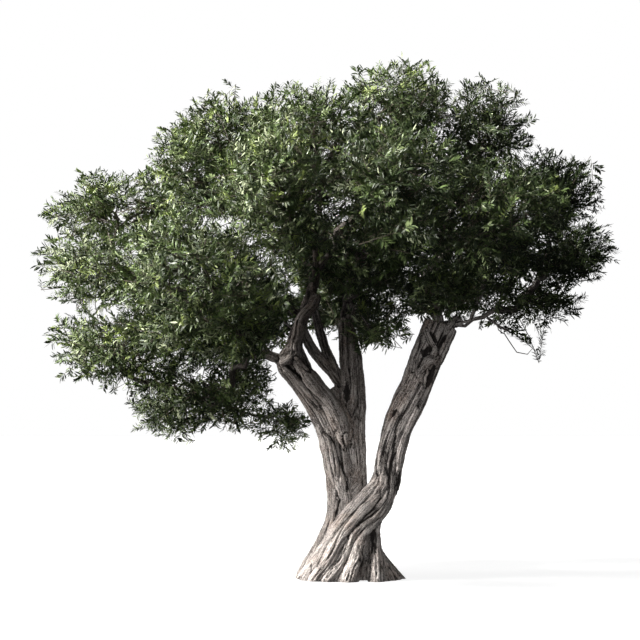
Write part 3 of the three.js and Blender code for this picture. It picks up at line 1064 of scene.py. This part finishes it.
def spray_courses(growth, courses):
    """Start, control and tip of every spray: three arrays of (branchlets, sprays, 3)."""
    rng, settings = growth.rng, growth.settings
    start, control, tip, side = (p[:, None, :] for p in courses)
    count, sprays = len(growth.tips), settings.sprays
    share = (np.arange(sprays) + 0.35) / sprays
    share = share[None, :, None] + rng.uniform(-0.04, 0.04, (count, sprays, 1))
    share[:, -1] = 1.0
    root, along = bezier(start, control, tip, share)
    hand = np.where(np.arange(sprays) % 2, 1.0, -1.0)[None, :, None]
    hand = hand * np.where(rng.random((count, 1, 1)) < 0.5, 1.0, -1.0)
    lean = np.radians(58 - 26 * share) + rng.normal(0, 0.16, share.shape)
    lean[:, -1] *= 0.1
    rise = np.cross(side, along)
    tilt = rng.normal(0.12, 0.34, share.shape)
    aside = hand * np.cos(tilt) * side + np.sin(tilt) * rise * np.sign(rise[..., 2:3])
    way = unit(np.cos(lean) * along + np.sin(lean) * aside)
    length = settings.spray_length * (1.0 - 0.38 * share) * rng.uniform(0.8, 1.1, share.shape)
    length = length * growth.scale[:, None, None]
    length = length * np.where(in_crown(growth, root + 0.85 * way * length), 1.0, 0.5)
    end = root + way * length + along * length * 0.10 + (0, 0, 0.01)
    bend = (root + end) / 2
    return root, bend, end


# A leaf's corners as shares of its length, of half its width and of its arch, and its triangles.
LEAF_OUTLINE = (
    (0.0, 0.0, 0.0), (0.34, 1.0, 0.9), (0.34, -1.0, 0.9),
    (0.72, 0.72, 0.8), (0.72, -0.72, 0.8), (1.0, 0.0, -0.4),
)
LEAF_FACES = np.array([(0, 1, 2), (2, 1, 3), (2, 3, 4), (4, 3, 5)])
PAIRS = 9  # pairs of leaves on each spray
INNER_SCALE = 1.4  # leaves inside the crown are fewer and larger


def leaf_blades(growth, leaves, courses):
    """Corners of every leaf on every spray: (sprays, pairs, 2, 6, 3)."""
    rng = growth.rng
    start, control, tip = (p.reshape(-1, 1, 3) for p in courses)
    count = len(start)
    share = (np.arange(PAIRS) + 0.7) / (PAIRS - 0.1)
    share = np.minimum(share, 0.99)[None, :, None]
    root, along = bezier(start, control, tip, share)
    open_air = growth.per_spray(growth.normals)[:, None]
    side = unit(np.cross(along, open_air + (0, 0, 0.3)) + rng.normal(0, 0.2, (count, 1, 3)))
    over = np.cross(side, along)
    turned = np.where(np.arange(PAIRS) % 2, 0.55, 0.0)[None, :]
    quarter = turned + rng.normal(0, 0.25, (count, PAIRS))
    spread = np.cos(quarter)[..., None] * side + np.sin(quarter)[..., None] * over
    lean = np.radians(62 - 20 * share)[..., None] + rng.normal(0, 0.14, (count, PAIRS, 2, 1))
    hands = np.array([1.0, -1.0])[None, None, :, None]
    blade = np.cos(lean) * along[:, :, None] + np.sin(lean) * hands * spread[:, :, None]
    blade = unit(blade + rng.normal(0, 0.09, blade.shape))
    lie = rng.normal(0, 0.34, (count, 1, 1, 3)) + rng.normal(0, 0.15, blade.shape)
    sky = unit(0.75 * open_air[:, :, None] + (0, 0, 0.50) + lie)
    across = unit(np.cross(blade, sky))
    face = np.cross(across, blade)
    grown = (0.72 + 0.28 * np.sin(math.pi * (0.12 + 0.74 * share)))[..., None]
    larger = growth.per_spray(np.where(growth.outer, 1.0, INNER_SCALE))
    grown = grown * larger[:, None, None, None]
    long = leaves.length * grown * rng.uniform(0.82, 1.10, (count, PAIRS, 2, 1))
    wide = 0.5 * leaves.width * grown * rng.uniform(0.85, 1.12, (count, PAIRS, 2, 1))
    arch = long * rng.uniform(0.0, 0.12, (count, PAIRS, 2, 1))
    base = root[:, :, None]
    along, aside, up = blade * long, across * wide, face * arch
    return np.stack([base + along * a + aside * b + up * c for a, b, c in LEAF_OUTLINE], 3)


# Shares of the five leaf colours, in the order of LEAF_LOOKS: painted light on the outside to the
# left and on top, painted shade on the rest of the outside and inside the crown.
PAINTED_LIGHT_SHARES = (0.18, 0.34, 0.26, 0.13, 0.09)
PAINTED_SHADE_SHARES = (0.58, 0.30, 0.08, 0.03, 0.01)
INNER_PAINTED_SHADE_SHARES = (0.70, 0.24, 0.06, 0.0, 0.0)


def spray_tints(growth):
    """The leaf colour of every spray: painted light to the left and on top, painted shade elsewhere.
    """
    rng = growth.rng
    size = (len(growth.tips), growth.settings.sprays)
    # Painted light: lighter tints grow more likely towards the left and the top, where the key light
    # falls.
    leftward = (0.3 - growth.tips[:, 0]) / 1.2
    upward = (growth.tips[:, 2] - 4.55) / 0.35 * np.clip((1.7 - growth.tips[:, 0]) / 0.9, 0, 1)
    painted_light_share = np.clip(np.maximum(leftward, upward), 0, 1)[:, None]
    painted_lit = rng.random(size) < painted_light_share
    painted_light_leaves, painted_shade_leaves, inner = (rng.choice(5, size, p=p) for p in (PAINTED_LIGHT_SHARES, PAINTED_SHADE_SHARES, INNER_PAINTED_SHADE_SHARES))
    outer = np.where(painted_lit, painted_light_leaves, painted_shade_leaves)
    return np.where(growth.outer[:, None], outer, inner).reshape(-1)


def build_leaves(growth, leaves, courses):
    """The leaves, in one piece for each mass."""
    corners = leaf_blades(growth, leaves, courses)
    shades = np.broadcast_to(spray_tints(growth)[:, None, None], corners.shape[:3]).copy()
    shades[growth.rng.random(shades.shape) < 0.05] = SILVER
    # Painted shade: high on the right more leaves take the deep tint; elsewhere a share of them is
    # deep at random.
    right, high = (growth.tips[:, 0] - 0.6) / 0.6, (growth.tips[:, 2] - 3.7) / 0.3
    painted_shade_weight = growth.per_spray(np.clip(right, 0, 1) * np.clip(high, 0, 1))
    deep_and_painted_shade_share = 0.22 + 0.45 * painted_shade_weight[:, None, None]
    shades[growth.rng.random(shades.shape) < deep_and_painted_shade_share] = DEEP
    owner = growth.per_spray(growth.owner)
    materials = [leaf_material(leaves, *look) for look in LEAF_LOOKS]
    every_other = (np.arange(PAIRS) % 2 == 0)[None, :, None]
    kept = growth.per_spray(growth.outer)[:, None, None] | every_other
    kept = np.broadcast_to(kept, shades.shape)
    made = []
    for number, node in enumerate(MASSES):
        mine = kept & (owner == number)[:, None, None]
        blades = corners[mine]
        index = np.arange(len(blades))[:, None, None] * len(LEAF_OUTLINE) + LEAF_FACES[None]
        shade = np.repeat(shades[mine], len(LEAF_FACES))
        piece = make_mesh(
            f"leaves_{node}", blades.reshape(-1, 3), [index.reshape(-1, 3)], materials, shade
        )
        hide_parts(node)
        made.append(piece)
    return made


def build_twigs(growth, branchlets, sprays):
    """Branchlets and the shoots on them, in one piece for each mass."""
    crown = growth.settings
    looks = (crown.twig_grey, "olive_twig"), (crown.twig_green, "olive_shoot")
    materials = [twig_bark(tint, name) for tint, name in looks]
    start, control, tip, _ = branchlets
    bend = (growth.foot + start) / 2 + growth.foot_way * 0.05
    middle = bezier(start, control, tip, 0.5)[0]
    stems = np.stack([growth.foot, bend, start, middle, tip], 1)
    stem_radii = crown.twig_radius * np.array([2.0, 1.8, 1.6, 1.25, 0.8])
    shoots = np.stack([sprays[0], sprays[2]], 2)
    shoot_radii = crown.twig_radius * np.array([1.0, 0.4])
    made = []
    for number, node in enumerate(MASSES):
        mine = growth.owner == number
        thin = shoots[mine].reshape(-1, 2, 3)
        points, faces, _ = tubes(thin, np.broadcast_to(shoot_radii, thin.shape[:2]), 3)
        thick = stems[mine]
        more, more_faces, _ = tubes(thick, np.broadcast_to(stem_radii, thick.shape[:2]), 4)
        more_faces = [group + len(points) for group in more_faces]
        groups = [faces[0], more_faces[0], more_faces[1], faces[1]]
        shade = np.repeat([1, 0, 0, 1], [len(group) for group in groups])
        piece = make_mesh(f"twigs_{node}", np.concatenate([points, more]), groups, materials, shade)
        made.append(piece)
    return made


# Dead twigs left on the upper limb: station from its foot, and length in metres.
DEAD_TWIGS = [(8, 0.19), (10, 0.24), (11, 0.20), (13, 0.22)]
THICK_BOUGH = 0.02  # radius in metres above which a bough gets more stations and sides


def build_boughs(growth):
    """The boughs inside the crown, and the low branch on the right, with the limbs' bark."""
    parts, faces, grains = [], [], []
    total = 0
    low = centre_line("low_right_branch", 12)
    courses = [(path, np.linspace(foot, end, len(path))) for path, foot, end in growth.boughs]
    courses.append((low[:, :3], low[:, 3]))
    limb = centre_line("left_upper_limb", 24)
    for station, length in DEAD_TWIGS:
        way = unit(np.array([-0.78, -0.45, 0.80]) + growth.rng.normal(0, 0.10, 3))
        foot = limb[station, :3] + way * limb[station, 3] * 0.6
        courses.append((np.linspace(foot, foot + way * length, 4), np.linspace(0.010, 0.004, 4)))
    for number, (path, radii) in enumerate(courses):
        stations, sides = (15, 10) if radii[0] > THICK_BOUGH else (7, 6)
        course = smooth_path(np.hstack([path, radii[:, None]]), stations)
        vertices, groups, grain = tubes(course[None, :, :3], course[None, :, 3], sides)
        parts.append(vertices)
        faces += [group + total for group in groups]
        grains.append(grain + (2.7 * number, 0, 0))
        total += len(vertices)
    points = np.concatenate(parts)
    grain = np.concatenate(grains)
    piece = make_mesh("boughs", points, merged(faces), [olive_bark()])
    depth = np.clip(0.35 + 0.6 * noise_at(grain * (30.0, 30.0, 5.0)), 0, 1)
    note_grain(piece.data, grain, depth)
    return piece


def note_grain(mesh, grain, depth):
    """Keeps each point's place along the grain, and how deep it lies in the furrows."""
    for name, kind, field, values in (
        ("depth", "FLOAT", "value", depth), ("grain", "FLOAT_VECTOR", "vector", grain)
    ):
        attribute = mesh.attributes.new(name, kind, "POINT")
        attribute.data.foreach_set(field, values.astype(np.float32).ravel())


def merged(faces):
    """Face arrays joined by their count of corners."""
    widths = sorted({group.shape[1] for group in faces})
    return [np.concatenate([g for g in faces if g.shape[1] == width]) for width in widths]


# ---- materials ----


def add_node(tree, kind, inputs=None, links=None, **settings):
    """Adds a node with its settings, its sockets' values and what feeds them."""
    made = tree.nodes.new(kind)
    for name, value in settings.items():
        setattr(made, name, value)
    for name, value in (inputs or {}).items():
        made.inputs[name].default_value = value
    for name, source in (links or {}).items():
        tree.links.new(source, made.inputs[name])
    return made


def blank_material(name):
    """The material of that name, or a new one without nodes."""
    material = bpy.data.materials.get(name)
    if material is None:
        material = bpy.data.materials.new(name)
        material.use_nodes = True
        material.node_tree.nodes.clear()
    return material


def finish_material(tree, inputs, links=None):
    """Adds the material's shader and its output."""
    shader = add_node(tree, "ShaderNodeBsdfPrincipled", inputs, links)
    add_node(tree, "ShaderNodeOutputMaterial", links={"Surface": shader.outputs["BSDF"]})


def olive_bark():
    """Old olive bark: grey weathered ridges, painted shade in the furrows, ochre where plates
    flaked.
    """
    settings = bpy.context.scene.olive_bark
    material = blank_material("olive_bark")
    tree = material.node_tree
    if tree.nodes:
        return material

    def pattern(vector, scale, detail, roughness=0.5, distortion=0.0):
        """The value of a noise that repeats about scale times for each metre."""
        inputs = {"Scale": scale, "Detail": detail, "Roughness": roughness}
        inputs["Distortion"] = distortion
        return add_node(tree, "ShaderNodeTexNoise", inputs, {"Vector": vector}).outputs["Fac"]

    def calculate(operation, *terms):
        """The result of a Math node, from numbers and sockets."""
        made = add_node(tree, "ShaderNodeMath", operation=operation)
        for socket, term in zip(made.inputs, terms):
            if isinstance(term, float):
                socket.default_value = term
            else:
                tree.links.new(term, socket)
        return made.outputs[0]

    def share(source, low, high, most=1.0):
        """How far a value is from low to high, times most."""
        limits = {"From Min": low, "From Max": high, "To Max": most}
        return add_node(tree, "ShaderNodeMapRange", limits, {"Value": source}).outputs["Result"]

    def tinted(factor, under, tint):
        """A colour laid over what is under it."""
        made = add_node(
            tree, "ShaderNodeMix", {"B": tint}, {"Factor": factor, "A": under}, data_type="RGBA"
        )
        return made.outputs["Result"]

    def stretched(scale):
        """The place along the grain, with a scale for each metre across, over and along it."""
        return add_node(
            tree, "ShaderNodeMapping", {"Scale": scale}, {"Vector": grain.outputs["Vector"]}
        ).outputs["Vector"]

    grain = add_node(tree, "ShaderNodeAttribute", attribute_name="grain")
    depth = add_node(tree, "ShaderNodeAttribute", attribute_name="depth").outputs["Fac"]
    place = add_node(tree, "ShaderNodeTexCoord").outputs["Object"]
    up = add_node(tree, "ShaderNodeSeparateXYZ", links={"Vector": place})
    base = add_node(tree, "ShaderNodeRGB").outputs["Color"]
    base.default_value = settings.body

    # Fibres 10 mm apart and twenty times as long, along the strand.
    fibre = pattern(stretched((105, 105, 5)), 1.0, 4.0, 0.66)
    # Cracks 22 mm apart, where this noise is near its middle.
    crack_field = pattern(stretched((46, 46, 2.8)), 1.0, 3.0, 0.6, 0.3)
    fleck = pattern(place, 80.0, 3.0, 0.75)  # flecks and pits about 12 mm across
    patch = pattern(place, 16.0, 5.0, 0.65)  # flakes and lichen about 60 mm across
    stain = pattern(place, 3.4, 2.0)  # stains about 300 mm across

    look = tinted(share(fibre, 0.45, 0.56), base, settings.ridge)
    look = tinted(share(stain, 0.48, 0.68, 0.55), look, settings.ochre)
    look = tinted(share(patch, 0.52, 0.64, 0.55), look, settings.ridge)
    # Painted shade: the cracks are darkened towards the furrow colour.
    crack_gap = calculate("ABSOLUTE", calculate("SUBTRACT", crack_field, 0.5))
    cracks = share(crack_gap, 0.040, 0.010, 0.88)
    look = tinted(cracks, look, settings.furrow)
    look = tinted(share(fleck, 0.46, 0.35, 0.90), look, settings.furrow)
    look = tinted(share(fleck, 0.55, 0.63, 0.85), look, settings.ridge)
    # Painted light: the bark is paler towards the ground, where the light reaches the trunk under
    # the crown.
    look = tinted(share(up.outputs["Z"], 1.70, 0.20, 0.18), look, settings.ridge)
    # Painted shade: the limbs high up on the left, under the crown, are darker.
    high, left = share(up.outputs["Z"], 1.35, 1.95, 0.55), share(up.outputs["X"], 0.55, 0.25)
    look = tinted(calculate("MULTIPLY", high, left), look, settings.painted_limb_shade)
    # Painted shade: the furrows and hollows are darkened by how deep they lie.
    look = tinted(share(depth, 0.22, 0.85, 0.95), look, settings.furrow)

    height = calculate("MULTIPLY_ADD", fibre, 0.35, fleck)
    height = calculate("MULTIPLY_ADD", cracks, -0.8, height)
    bump = add_node(
        tree, "ShaderNodeBump", {"Strength": 0.9, "Distance": 0.008}, {"Height": height}
    )
    finish_material(
        tree,
        {"Roughness": 0.9, "Specular IOR Level": 0.25},
        {"Base Color": look, "Normal": bump.outputs["Normal"]},
    )
    return material


def plain_material(name, tint, roughness, specular):
    """A material of one colour, for what is too small to show a pattern."""
    material = blank_material(name)
    inputs = {"Base Color": tint, "Roughness": roughness, "Specular IOR Level": specular}
    finish_material(material.node_tree, inputs)
    return material


# The colours of the leaves, each with its roughness and its shine: leathery and waxy above, felted
# and silvery beneath.
LEAF_LOOKS = [
    ("deep", 0.45, 0.45), ("green", 0.42, 0.5), ("grey", 0.5, 0.45), ("lime", 0.42, 0.5),
    ("silver", 0.7, 0.3),
]
DEEP, SILVER = 0, 4


def leaf_material(leaves, tint, roughness, shine):
    """Leathery olive leaf of one of the five colours."""
    return plain_material(f"olive_leaf_{tint}", getattr(leaves, tint), roughness, shine)


def twig_bark(tint, name):
    """Smooth young bark, too thin to show a pattern."""
    return plain_material(name, tint, 0.75, 0.3)


# ---- stage ----

FOOT_LAMP, FOOT_LAMP_AIM = (0.2, -9.3, 0.8), (0.75, 0.0, 1.1)


def add_lamp(name, strength, spread, tint, elevation, azimuth):
    """A lamp far off, at angles in degrees: the azimuth runs from the front round to the left."""
    light = bpy.data.lights.new(name, "SUN")
    light.energy = strength
    light.angle = math.radians(spread)
    light.color = tint
    lamp = add_object(name, light)
    lamp.rotation_euler = (math.radians(90 - elevation), 0, math.radians(-azimuth))


def add_foot_lamp(power):
    """A soft lamp in front, which brightens the foot and the trunk."""
    light = bpy.data.lights.new("foot", "SPOT")
    light.energy = power
    light.spot_size = math.radians(25)
    light.spot_blend = 1.0
    light.shadow_soft_size = 0.6
    lamp = add_object("foot", light)
    lamp.location = FOOT_LAMP
    aim = Vector(FOOT_LAMP_AIM) - lamp.location
    lamp.rotation_euler = aim.to_track_quat("-Z", "Y").to_euler()


def build_floor():
    """A plain pale floor, which lights nothing."""
    bpy.ops.object.select_all(action="DESELECT")
    bpy.ops.mesh.primitive_plane_add(size=400, location=(0, 0, -0.003))
    floor = bpy.context.active_object
    floor.name = "floor"
    paper = blank_material("floor_paper")
    finish_material(
        paper.node_tree,
        {
            "Base Color": linear("#8c8c8c"),
            "Roughness": 1.0,
            "Specular IOR Level": 0.0,
            "Emission Color": (1, 1, 1, 1),
            "Emission Strength": 0.9,
        },
    )
    floor.data.materials.append(paper)
    floor.visible_diffuse = False
    floor.visible_glossy = False


def build_world(strength):
    """White behind the tree, and faint light from all round."""
    world = bpy.data.worlds.new("studio")
    world.use_nodes = True
    tree = world.node_tree
    tree.nodes.clear()
    path = add_node(tree, "ShaderNodeLightPath")
    seen = add_node(tree, "ShaderNodeBackground", {"Color": (1, 1, 1, 1), "Strength": 1.0})
    fill = add_node(
        tree, "ShaderNodeBackground", {"Color": (0.93, 0.96, 1, 1), "Strength": strength}
    )
    both = add_node(tree, "ShaderNodeMixShader", links={"Fac": path.outputs["Is Camera Ray"]})
    tree.links.new(fill.outputs["Background"], both.inputs[1])
    tree.links.new(seen.outputs["Background"], both.inputs[2])
    add_node(tree, "ShaderNodeOutputWorld", links={"Surface": both.outputs["Shader"]})
    bpy.context.scene.world = world


def build_camera(settings):
    """The camera in front of the tree, a little to the left, looking level or upwards."""
    eye = bpy.data.cameras.new("camera")
    eye.lens = settings.lens
    eye.sensor_width = 36.0
    eye.clip_end = 500.0
    camera = add_object("camera", eye)
    camera.location = (-settings.aside, -settings.distance, settings.eye_height)
    rise = settings.aim_height - settings.eye_height
    camera.rotation_euler = (math.pi / 2 + math.atan2(rise, settings.distance), 0, 0)
    bpy.context.scene.camera = camera


def build_stage(settings):
    """The floor, the light from the left and from all round, and the camera."""
    build_floor()
    build_world(settings.sky)
    add_lamp("key", settings.sun, 9, (1.0, 0.98, 0.95), elevation=42, azimuth=80)
    add_lamp("side", settings.side, 25, (1.0, 0.98, 0.96), elevation=4, azimuth=74)
    add_lamp("top", settings.top, 90, (0.95, 0.98, 1.0), elevation=75, azimuth=40)
    add_foot_lamp(settings.foot)
    build_camera(settings)
    bpy.context.scene.view_settings.view_transform = "Standard"


# ---- operators and panel ----


class OLIVE_OT_bark(bpy.types.Operator):
    """Wrap the trunk and the limbs in furrowed bark"""

    bl_idname = "olive.bark"
    bl_label = "Bark"

    def execute(self, context):
        left, right = build_bark(context.scene.olive_bark)
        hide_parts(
            "trunk", "main_stem", "left_limb", "left_upper_limb", "left_outer_bough",
            "centre_limb", "inner_bough_left", "inner_bough_right",
        )
        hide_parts("right_limb", "right_upper_limb", "right_bough")
        for bark in (left, right):
            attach(bark, BODY)
        return {"FINISHED"}


class OLIVE_OT_crown(bpy.types.Operator):
    """Grow boughs, twigs and leaves in place of the masses of foliage"""

    bl_idname = "olive.crown"
    bl_label = "Crown"

    def execute(self, context):
        growth = Growth(context.scene.olive_crown)
        branchlets = branchlet_courses(growth)
        sprays = spray_courses(growth, branchlets)
        boughs = build_boughs(growth)
        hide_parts("low_right_branch")
        twigs = build_twigs(growth, branchlets, sprays)
        leaves = build_leaves(growth, context.scene.olive_leaves, sprays)
        for piece in (boughs, *twigs, *leaves):
            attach(piece, BODY)
        return {"FINISHED"}


class OLIVE_OT_stage(bpy.types.Operator):
    """Set the floor, the light and the camera"""

    bl_idname = "olive.stage"
    bl_label = "Stage"

    def execute(self, context):
        build_stage(context.scene.olive_stage)
        return {"FINISHED"}


class OLIVE_PT_panel(bpy.types.Panel):
    """Settings and steps of the olive tree"""

    bl_idname = "OLIVE_PT_panel"
    bl_label = "Olive tree"
    bl_space_type = "VIEW_3D"
    bl_region_type = "UI"
    bl_category = "Olive"

    def draw(self, context):
        for operator, group in (
            ("olive.stage", context.scene.olive_stage),
            ("olive.bark", context.scene.olive_bark),
            ("olive.crown", context.scene.olive_crown),
            (None, context.scene.olive_leaves),
        ):
            for name in group.bl_rna.properties.keys():
                if name not in {"rna_type", "name"}:
                    self.layout.prop(group, name)
            if operator:
                self.layout.operator(operator)


SETTINGS = {
    "olive_bark": OliveBark, "olive_crown": OliveCrown, "olive_leaves": OliveLeaves,
    "olive_stage": OliveStage,
}
CLASSES = (*SETTINGS.values(), OLIVE_OT_stage, OLIVE_OT_bark, OLIVE_OT_crown, OLIVE_PT_panel)


def register():
    """Adds the settings, the operators and the panel."""
    for each in CLASSES:
        bpy.utils.register_class(each)
    for name, group in SETTINGS.items():
        setattr(bpy.types.Scene, name, PointerProperty(type=group))


def unregister():
    """Takes them away again."""
    for name in SETTINGS:
        delattr(bpy.types.Scene, name)
    for each in reversed(CLASSES):
        bpy.utils.unregister_class(each)


def main():
    """Builds the stage and the tree."""
    register()
    bpy.ops.olive.stage()
    bpy.ops.olive.bark()
    bpy.ops.olive.crown()
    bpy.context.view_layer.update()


if __name__ == "__main__":
    main()
